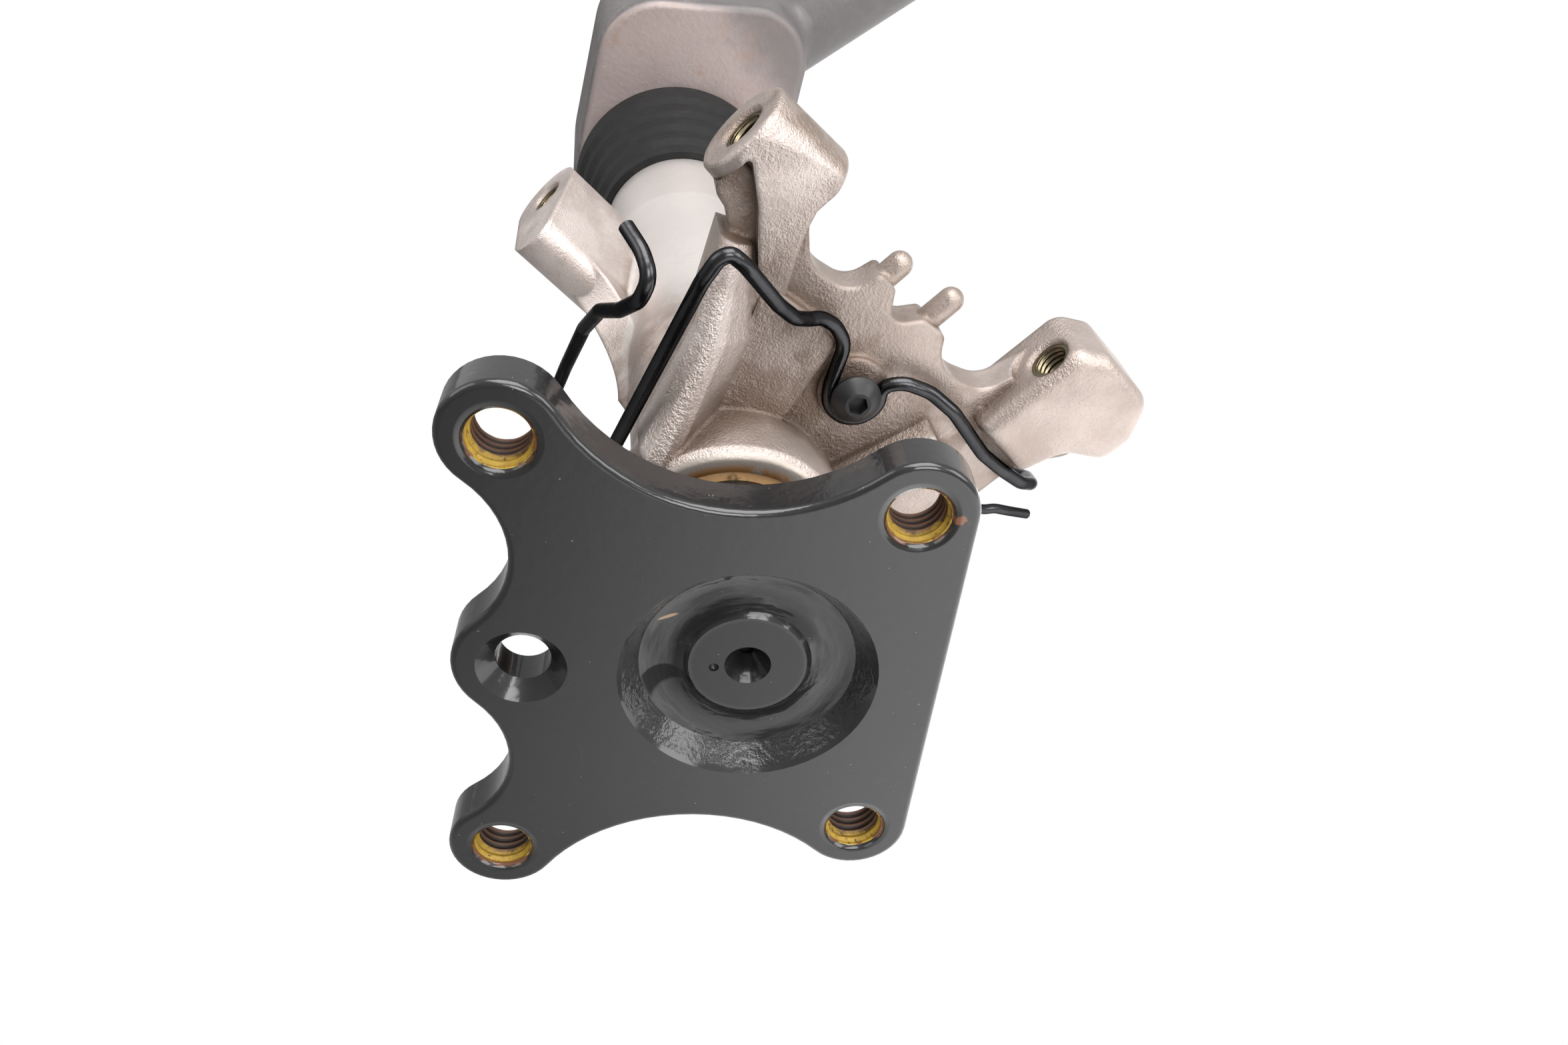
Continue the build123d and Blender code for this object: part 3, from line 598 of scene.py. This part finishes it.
def armMaterial(values):
    material, tree, where, surface = newMaterial("forging_with_painted_sheen")
    broad = noise(tree, where, *values["broad"])
    fine = noise(tree, where, *values["fine"])
    y = scaled(tree, broad, values["faceRagged"], along(tree, where, alongShaft))
    out = scaled(tree, broad, values["armRagged"], along(tree, where, crossDirections(values["angle"])[0]))
    flank = product(tree, patches(tree, where, *values["flank"]), values["flankAmount"])
    # The block's face is painted sheen: light off the black paint, coloured brown-grey as bare metal; the
    # flank patches are wear
    bareAndSheen = greatest(tree, span(tree, y, *values["faceFrom"]), flank)
    onArm = span(tree, out, *values["armFrom"])
    bareAndSheen = product(tree, bareAndSheen, scaled(tree, onArm, values["armKept"], 1.0))
    shade = mixColour(tree, span(tree, broad, *values["shadeLimits"]),
                      dimmed(values["face"], values["faceDim"]), values["face"])
    rust = product(tree, patches(tree, where, *values["rustSpots"]), bareAndSheen, values["rustAmount"])
    colour = layers(tree, values["paint"], (bareAndSheen, shade), (rust, values["rust"]))
    wire(tree, surface, {"Base Color": colour, "Metallic": product(tree, bareAndSheen, values["metallic"]),
                         "Roughness": scaled(tree, fine, *values["rough"]),
                         "Normal": bump(tree, fine, *values["fineBump"])})
    return material


finishes = {name: plainMaterial(name, plainLook, **values) for name, values in plain.items()}
finishes["black_steel"] = paintMaterial(paint)
finishes["cast_aluminium"] = castMaterial(casting)
finishes["arm_steel"] = armMaterial(armFinish)
slots = {part["node"]: part["material_slot"] for part in frame["record"]["subparts"]}
special = {"upper_dust_seal": "greasy_rubber", "thread_inserts": "insert_steel"}
for name, piece in frame["nodes"].items():
    piece.data.materials.clear()
    piece.data.materials.append(finishes[special.get(name, slots[name])])
print("materials set")

# Threads of the plate's holes: yellow masking paint near the mouths, rust further in, with a painted
# highlight on the thread crests
thread = {
    "pitch": 0.00175,
    "radius": 0.006,
    "height": 0.00085,
    "start": 0.00062,
    "end": 0.0099,
    "backing": 0.0003,
    "filledTo": 0.0036,
    "mouthFill": 0.3,
    "around": 72,
    "rows": 56,
    "brown": (0.018, 0.010, 0.007, 1),
    "crestHighlight": (0.17, 0.088, 0.056, 1),
    "crestShares": (0.35, 0.85),             # of the thread's height
    "yellow": (0.44, 0.285, 0.035, 1),
    "thinYellow": (0.34, 0.21, 0.03, 1),
    "thinSpots": ((600, 4), (0.35, 0.7)),
    "edge": (420, 4, 0.65),
    "edgeRagged": 0.0022,
    "paintedTo": (0.0051, 0.0044),
    "chips": ((900, 5, 0.7), (0.58, 0.66)),
    "mouthRust": (0.14, 0.05, 0.02, 1),
    "mouthDepth": (0.0013, 0.0008),
    "mouthSpots": ((300, 4), (0.42, 0.55)),
    "grain": (1500, 4, 0.7),
    "grainBump": (0.35, 0.0004),
    "rough": 0.5,
    "metallic": 0.15,
}


def threadMaterial(values):
    material, tree, where, surface = newMaterial("rusty_thread")
    u, v, w = plateSpot(tree, where, plate)
    depth = product(tree, w, -1.0)
    edge = scaled(tree, noise(tree, where, *values["edge"]), values["edgeRagged"], depth)
    whole = calc(tree, "SUBTRACT", 1.0, patches(tree, where, *values["chips"]))
    painted = product(tree, span(tree, edge, *values["paintedTo"]), whole)
    # Painted highlight: the thread crests take a lighter rust colour
    crestEdge = [-values["height"] * share for share in values["crestShares"]]
    crestHighlight = spanFrom(tree, nearestHole(tree, u, v, plate), values["radius"], crestEdge)
    brown = mixColour(tree, crestHighlight, values["brown"], values["crestHighlight"])
    thin = patches(tree, where, *values["thinSpots"])
    yellow = mixColour(tree, thin, values["yellow"], values["thinYellow"])
    mouth = product(tree, span(tree, depth, *values["mouthDepth"]),
                    patches(tree, where, *values["mouthSpots"]))
    colour = layers(tree, brown, (painted, yellow), (mouth, values["mouthRust"]))
    wire(tree, surface, {"Base Color": colour, "Roughness": values["rough"], "Metallic": values["metallic"],
                         "Normal": bump(tree, noise(tree, where, *values["grain"]), *values["grainBump"])})
    return material


def addGrid(name, places, material, body):
    # A grid of points that closes both ways: rows wrap to the first row and columns to the first column
    rows, columns = places.shape[:2]
    index = np.arange(rows * columns).reshape(rows, columns)
    below = np.roll(index, -1, axis=0)
    corners = (below, np.roll(below, -1, axis=1), np.roll(index, -1, axis=1), index)
    faces = np.stack(corners, axis=-1).reshape(-1, 4)
    mesh = bpy.data.meshes.new(name)
    mesh.from_pydata(places.reshape(-1, 3).tolist(), [], faces.tolist())
    mesh.polygons.foreach_set("use_smooth", [True] * len(faces))
    mesh.materials.append(material)
    piece = bpy.data.objects.new(name, mesh)
    bpy.context.scene.collection.objects.link(piece)
    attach(piece, body)
    return piece


def threadSleeve(name, values, centre, directions, material, body):
    # Inner wall at angle t and depth s: r = radius - height * fill(s) * ridge, with
    # ridge = 1 - |2 frac(s / pitch - t / 2 pi) - 1|, where fill rises from mouthFill at the mouth
    # to 1 at filledTo; the outer wall is radius + backing
    across, upward, outward = (np.asarray(direction) for direction in directions)
    turns = np.linspace(0, 2 * np.pi, values["around"], endpoint=False)
    depths = np.linspace(values["start"], values["end"], values["rows"])
    t, s = np.meshgrid(turns, depths)
    ridge = 1 - np.abs(2 * ((s / values["pitch"] - t / (2 * np.pi)) % 1.0) - 1)
    leastLength = 1e-9                       # for a thread that is full right from its start
    fillLength = max(values["filledTo"] - values["start"], leastLength)
    rise = np.clip((s - values["start"]) / fillLength, 0, 1)
    fill = values["mouthFill"] + (1 - values["mouthFill"]) * rise
    inner = values["radius"] - values["height"] * fill * ridge
    outer = np.full_like(t[:1], values["radius"] + values["backing"])
    radius = np.vstack((inner, outer, outer))
    depth = np.vstack((s, s[-1:], s[:1]))
    angle = np.vstack((t, t[:1], t[:1]))
    places = (np.asarray(centre)
              + (radius * np.cos(angle))[..., None] * across
              + (radius * np.sin(angle))[..., None] * upward
              - depth[..., None] * outward)
    return addGrid(name, places, material, body)


def barThreads(values):
    directions = plateDirections(plate)
    across, upward = (np.asarray(direction) for direction in directions[:2])
    material = threadMaterial(values)
    for label, (u, v) in (("rear", plate["rearHole"]), ("front", plate["frontHole"])):
        for side, sign in (("upper", 1), ("lower", -1)):
            centre = across * u + upward * v * sign
            piece = threadSleeve(f"{label}_{side}_thread", values, centre, directions, material, "stem")


barThreads(thread)

# Threads of the inserts in the holder's bosses; places are across the holder, along the shaft and height
insertThread = {
    "pitch": 0.00125,
    "radius": 0.004,
    "height": 0.00062,
    "start": 0.0012,
    "end": 0.0168,
    "backing": 0.0002,
    "filledTo": 0.0012,
    "mouthFill": 0.3,
    "around": 56,
    "rows": 110,
    "places": {
        "upper_insert_thread": (0.062, 0.065, 0.061),
        "lower_insert_thread": (0.0775, 0.0620, -0.024),
        "rear_insert_thread": (-0.0085, 0.1755, 0.052),
    },
}


def insertThreads(values):
    across, outward = (np.array(direction) for direction in crossDirections(casting["turn"]))
    directions = (across, np.cross(outward, across), outward)
    for name, (acrossBy, alongBy, height) in values["places"].items():
        centre = across * acrossBy + np.array(alongShaft) * alongBy + outward * height
        piece = threadSleeve(name, values, centre, directions, finishes["insert_steel"], "holder")


insertThreads(insertThread)
print("threads made")

# White studio: the camera sees plain white, the object is lit by soft boxes
studio = {
    "white": (1, 1, 1, 1),
    "light": 0.70,
    "dim": 0.42,
    "darkSide": (-0.35, -0.90, -0.28),
    "darkLimits": (-0.1, 0.75),
    "floorSize": 4,
    "floorPlace": (0, 0.2, -0.0615),
    "floorDark": (0.17, 0.17, 0.17, 1),
    "floorPale": (1.0, 1.0, 1.0, 1),
    "floorLimits": (-0.12, 0.10),
    "boxes": {                               # place, aimed at, size and power in watts
        "top_box": ((0.05, -0.05, 1.1), (0.0, 0.08, 0.0), 0.9, 16.0),
        "left_box": ((-1.0, 0.00, 0.70), (0.0, 0.08, 0.0), 0.7, 3.5),
        "right_box": ((0.75, -0.35, 0.55), (0.0, 0.05, 0.0), 0.5, 4.0),
        "front_box": ((0.20, -1.1, 0.75), (0.0, 0.10, 0.0), 0.6, 9.0),
    },
}


def whiteToCamera(tree, shade, output, kind, white):
    # The camera's own rays meet plain white, all others the shade
    ray = makeNode(tree, "ShaderNodeLightPath").outputs["Is Camera Ray"]
    plainWhite = makeNode(tree, kind, {}, {"Color": white, "Strength": 1.0})
    mix = makeNode(tree, "ShaderNodeMixShader", {}, {0: ray, 1: shade, 2: plainWhite.outputs[0]})
    tree.links.new(mix.outputs[0], output)


def addSky(values):
    world = bpy.data.worlds.new("studio")
    bpy.context.scene.world = world
    world.use_nodes = True
    tree = world.node_tree
    tree.nodes.clear()
    direction = makeNode(tree, "ShaderNodeTexCoord").outputs["Generated"]
    level = span(tree, along(tree, direction, values["darkSide"]), *values["darkLimits"],
                 values["light"], values["dim"])
    soft = makeNode(tree, "ShaderNodeBackground", {}, {"Color": values["white"], "Strength": level})
    output = makeNode(tree, "ShaderNodeOutputWorld").inputs[0]
    whiteToCamera(tree, soft.outputs[0], output, "ShaderNodeBackground", values["white"])


def addFloor(values):
    bpy.ops.mesh.primitive_plane_add(size=values["floorSize"], location=values["floorPlace"])
    floor = bpy.context.object
    floor.name = "floor"
    material = bpy.data.materials.new("pale_floor")
    material.use_nodes = True
    tree = material.node_tree
    tree.nodes.clear()
    where = makeNode(tree, "ShaderNodeTexCoord").outputs["Object"]
    pale = span(tree, along(tree, where, sideways), *values["floorLimits"])
    shade = mixColour(tree, pale, values["floorDark"], values["floorPale"])
    matt = makeNode(tree, "ShaderNodeBsdfDiffuse", {}, {"Color": shade})
    output = makeNode(tree, "ShaderNodeOutputMaterial").inputs[0]
    whiteToCamera(tree, matt.outputs[0], output, "ShaderNodeEmission", values["white"])
    floor.data.materials.append(material)


def addBoxes(values):
    for name, (place, target, size, power) in values["boxes"].items():
        data = bpy.data.lights.new(name, "AREA")
        data.shape = "SQUARE"
        data.size = size
        data.energy = power
        lamp = bpy.data.objects.new(name, data)
        lamp.location = place
        lamp.rotation_euler = (Vector(target) - Vector(place)).to_track_quat("-Z", "Y").to_euler()
        bpy.context.scene.collection.objects.link(lamp)


addSky(studio)
addFloor(studio)
addBoxes(studio)
print("studio set")
